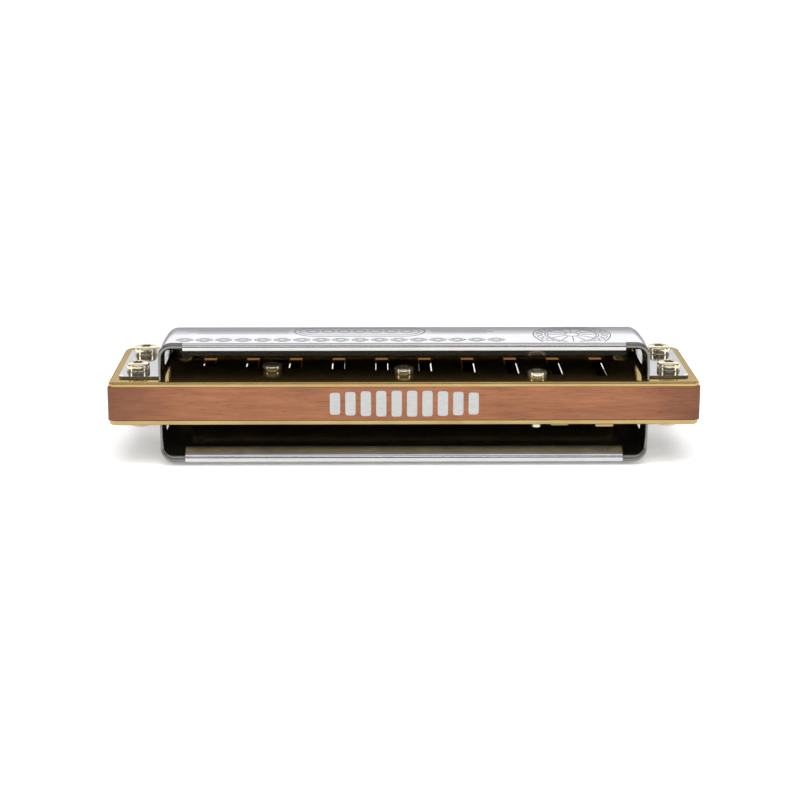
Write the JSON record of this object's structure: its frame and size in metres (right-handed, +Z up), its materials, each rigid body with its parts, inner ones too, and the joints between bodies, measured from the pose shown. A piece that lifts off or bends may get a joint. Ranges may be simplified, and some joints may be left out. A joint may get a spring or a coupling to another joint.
{
  "type": "harmonica",
  "caption": "Pocket harmonica: a wooden comb with breath channels between two brass reed plates, under two domed steel covers that open at the back.",
  "frame": {"origin": "centre of the bounding box's base, on the flat crest of the lower cover", "axes": "+X along the length with hole 1 at -X and the highest notes at +X, -Y towards the player's mouth, +Y towards the covers' open backs, +Z up"},
  "size_m": [0.1008, 0.0274, 0.0218],
  "materials": {
    "pearwood": "sealed, fine horizontal grain, satin",
    "reed_plate_brass": "fine-brushed, satin",
    "reed_brass": "milled along the reed, satin",
    "rivet_brass": "polished",
    "cover_steel": "mirror-polished stainless sheet",
    "screw_nickel": "nickel plate, polished"
  },
  "bodies": {
    "harp": {"comb": "pearwood", "blow_reed_plate": "reed_plate_brass", "draw_reed_plate": "reed_plate_brass", "top_cover": "cover_steel", "bottom_cover": "cover_steel", "blow_rivet_1": "rivet_brass", "blow_rivet_2": "rivet_brass", "blow_rivet_3": "rivet_brass", "blow_rivet_4": "rivet_brass", "blow_rivet_5": "rivet_brass", "blow_rivet_6": "rivet_brass", "blow_rivet_7": "rivet_brass", "blow_rivet_8": "rivet_brass", "blow_rivet_9": "rivet_brass", "blow_rivet_10": "rivet_brass", "draw_rivet_1": "rivet_brass", "draw_rivet_2": "rivet_brass", "draw_rivet_3": "rivet_brass", "draw_rivet_4": "rivet_brass", "draw_rivet_5": "rivet_brass", "draw_rivet_6": "rivet_brass", "draw_rivet_7": "rivet_brass", "draw_rivet_8": "rivet_brass", "draw_rivet_9": "rivet_brass", "draw_rivet_10": "rivet_brass", "cover_screw_left_back": "screw_nickel", "cover_screw_left_front": "screw_nickel", "cover_screw_right_back": "screw_nickel", "cover_screw_right_front": "screw_nickel", "cover_nut_left_back": "screw_nickel", "cover_nut_left_front": "screw_nickel", "cover_nut_right_back": "screw_nickel", "cover_nut_right_front": "screw_nickel", "plate_screw_back_left": "screw_nickel", "plate_screw_back_middle": "screw_nickel", "plate_screw_back_right": "screw_nickel", "plate_screw_front_left": "screw_nickel", "plate_screw_front_right": "screw_nickel"},
    "blow_reed_1": {"blow_reed_1": "reed_brass"},
    "blow_reed_2": {"blow_reed_2": "reed_brass"},
    "blow_reed_3": {"blow_reed_3": "reed_brass"},
    "blow_reed_4": {"blow_reed_4": "reed_brass"},
    "blow_reed_5": {"blow_reed_5": "reed_brass"},
    "blow_reed_6": {"blow_reed_6": "reed_brass"},
    "blow_reed_7": {"blow_reed_7": "reed_brass"},
    "blow_reed_8": {"blow_reed_8": "reed_brass"},
    "blow_reed_9": {"blow_reed_9": "reed_brass"},
    "blow_reed_10": {"blow_reed_10": "reed_brass"},
    "draw_reed_1": {"draw_reed_1": "reed_brass"},
    "draw_reed_2": {"draw_reed_2": "reed_brass"},
    "draw_reed_3": {"draw_reed_3": "reed_brass"},
    "draw_reed_4": {"draw_reed_4": "reed_brass"},
    "draw_reed_5": {"draw_reed_5": "reed_brass"},
    "draw_reed_6": {"draw_reed_6": "reed_brass"},
    "draw_reed_7": {"draw_reed_7": "reed_brass"},
    "draw_reed_8": {"draw_reed_8": "reed_brass"},
    "draw_reed_9": {"draw_reed_9": "reed_brass"},
    "draw_reed_10": {"draw_reed_10": "reed_brass"}
  },
  "joints": [
    {"name": "blow_reed_1_flex", "type": "hinge", "parent": "harp", "child": "blow_reed_1", "pos_m": [-0.0342, -0.0041, 0.01372], "axis": [1, 0, 0], "range_deg": [-5, 5], "stiffness_Nm_per_rad": 0.00948, "deforming": ["blow_reed_1"]},
    {"name": "blow_reed_2_flex", "type": "hinge", "parent": "harp", "child": "blow_reed_2", "pos_m": [-0.0266, -0.0041, 0.01372], "axis": [1, 0, 0], "range_deg": [-4.8, 4.8], "stiffness_Nm_per_rad": 0.0125, "deforming": ["blow_reed_2"]},
    {"name": "blow_reed_3_flex", "type": "hinge", "parent": "harp", "child": "blow_reed_3", "pos_m": [-0.019, -0.0041, 0.01372], "axis": [1, 0, 0], "range_deg": [-4.6, 4.6], "stiffness_Nm_per_rad": 0.0145, "deforming": ["blow_reed_3"]},
    {"name": "blow_reed_4_flex", "type": "hinge", "parent": "harp", "child": "blow_reed_4", "pos_m": [-0.0114, -0.0041, 0.01372], "axis": [1, 0, 0], "range_deg": [-4.4, 4.4], "stiffness_Nm_per_rad": 0.021, "deforming": ["blow_reed_4"]},
    {"name": "blow_reed_5_flex", "type": "hinge", "parent": "harp", "child": "blow_reed_5", "pos_m": [-0.0038, -0.0041, 0.01372], "axis": [1, 0, 0], "range_deg": [-4.2, 4.2], "stiffness_Nm_per_rad": 0.0269, "deforming": ["blow_reed_5"]},
    {"name": "blow_reed_6_flex", "type": "hinge", "parent": "harp", "child": "blow_reed_6", "pos_m": [0.0038, -0.0041, 0.01372], "axis": [1, 0, 0], "range_deg": [-4, 4], "stiffness_Nm_per_rad": 0.0302, "deforming": ["blow_reed_6"]},
    {"name": "blow_reed_7_flex", "type": "hinge", "parent": "harp", "child": "blow_reed_7", "pos_m": [0.0114, -0.0041, 0.01372], "axis": [1, 0, 0], "range_deg": [-3.8, 3.8], "stiffness_Nm_per_rad": 0.0423, "deforming": ["blow_reed_7"]},
    {"name": "blow_reed_8_flex", "type": "hinge", "parent": "harp", "child": "blow_reed_8", "pos_m": [0.019, -0.0041, 0.01372], "axis": [1, 0, 0], "range_deg": [-3.6, 3.6], "stiffness_Nm_per_rad": 0.0524, "deforming": ["blow_reed_8"]},
    {"name": "blow_reed_9_flex", "type": "hinge", "parent": "harp", "child": "blow_reed_9", "pos_m": [0.0266, -0.0041, 0.01372], "axis": [1, 0, 0], "range_deg": [-3.4, 3.4], "stiffness_Nm_per_rad": 0.0575, "deforming": ["blow_reed_9"]},
    {"name": "blow_reed_10_flex", "type": "hinge", "parent": "harp", "child": "blow_reed_10", "pos_m": [0.0342, -0.0041, 0.01372], "axis": [1, 0, 0], "range_deg": [-3.2, 3.2], "stiffness_Nm_per_rad": 0.0797, "deforming": ["blow_reed_10"]},
    {"name": "draw_reed_1_flex", "type": "hinge", "parent": "harp", "child": "draw_reed_1", "pos_m": [-0.0342, 0.0093, 0.00698], "axis": [1, 0, 0], "range_deg": [-5, 5], "stiffness_Nm_per_rad": 0.0119, "deforming": ["draw_reed_1"]},
    {"name": "draw_reed_2_flex", "type": "hinge", "parent": "harp", "child": "draw_reed_2", "pos_m": [-0.0266, 0.00845, 0.00698], "axis": [1, 0, 0], "range_deg": [-4.8, 4.8], "stiffness_Nm_per_rad": 0.0177, "deforming": ["draw_reed_2"]},
    {"name": "draw_reed_3_flex", "type": "hinge", "parent": "harp", "child": "draw_reed_3", "pos_m": [-0.019, 0.0076, 0.00698], "axis": [1, 0, 0], "range_deg": [-4.6, 4.6], "stiffness_Nm_per_rad": 0.0231, "deforming": ["draw_reed_3"]},
    {"name": "draw_reed_4_flex", "type": "hinge", "parent": "harp", "child": "draw_reed_4", "pos_m": [-0.0114, 0.00675, 0.00698], "axis": [1, 0, 0], "range_deg": [-4.4, 4.4], "stiffness_Nm_per_rad": 0.0265, "deforming": ["draw_reed_4"]},
    {"name": "draw_reed_5_flex", "type": "hinge", "parent": "harp", "child": "draw_reed_5", "pos_m": [-0.0038, 0.0059, 0.00698], "axis": [1, 0, 0], "range_deg": [-4.2, 4.2], "stiffness_Nm_per_rad": 0.0302, "deforming": ["draw_reed_5"]},
    {"name": "draw_reed_6_flex", "type": "hinge", "parent": "harp", "child": "draw_reed_6", "pos_m": [0.0038, 0.00505, 0.00698], "axis": [1, 0, 0], "range_deg": [-4, 4], "stiffness_Nm_per_rad": 0.0381, "deforming": ["draw_reed_6"]},
    {"name": "draw_reed_7_flex", "type": "hinge", "parent": "harp", "child": "draw_reed_7", "pos_m": [0.0114, 0.0042, 0.00698], "axis": [1, 0, 0], "range_deg": [-3.8, 3.8], "stiffness_Nm_per_rad": 0.0377, "deforming": ["draw_reed_7"]},
    {"name": "draw_reed_8_flex", "type": "hinge", "parent": "harp", "child": "draw_reed_8", "pos_m": [0.019, 0.00335, 0.00698], "axis": [1, 0, 0], "range_deg": [-3.6, 3.6], "stiffness_Nm_per_rad": 0.0416, "deforming": ["draw_reed_8"]},
    {"name": "draw_reed_9_flex", "type": "hinge", "parent": "harp", "child": "draw_reed_9", "pos_m": [0.0266, 0.0025, 0.00698], "axis": [1, 0, 0], "range_deg": [-3.4, 3.4], "stiffness_Nm_per_rad": 0.0456, "deforming": ["draw_reed_9"]},
    {"name": "draw_reed_10_flex", "type": "hinge", "parent": "harp", "child": "draw_reed_10", "pos_m": [0.0342, 0.00165, 0.00698], "axis": [1, 0, 0], "range_deg": [-3.2, 3.2], "stiffness_Nm_per_rad": 0.0563, "deforming": ["draw_reed_10"]}
  ]
}
